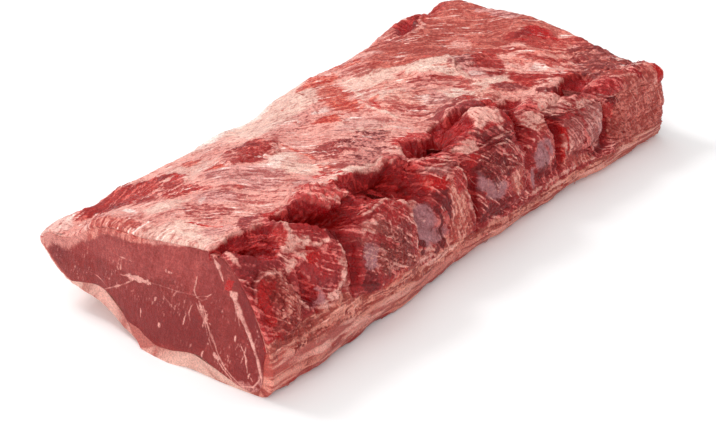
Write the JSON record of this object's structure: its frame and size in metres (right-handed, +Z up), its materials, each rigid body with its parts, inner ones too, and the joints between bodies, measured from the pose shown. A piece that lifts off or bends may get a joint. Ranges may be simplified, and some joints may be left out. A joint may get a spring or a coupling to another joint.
{
  "type": "raw beef strip loin",
  "caption": "Whole boneless raw beef strip loin: a long lean slab on its fat cap, cut square at one end, with uneven chunks and clefts down its thick side.",
  "frame": {"origin": "on the surface that the loin lies on, under the middle of its box", "axes": "+X along the loin, away from the cut end; -Y towards the thick chine side; +Y towards the thin flank edge; +Z up"},
  "size_m": [0.436, 0.2146, 0.0919],
  "materials": {
    "lean_beef": null,
    "beef_fat": null
  },
  "bodies": {
    "root": {"loin": "lean_beef", "fat_cap": "beef_fat"}
  },
  "joints": []
}
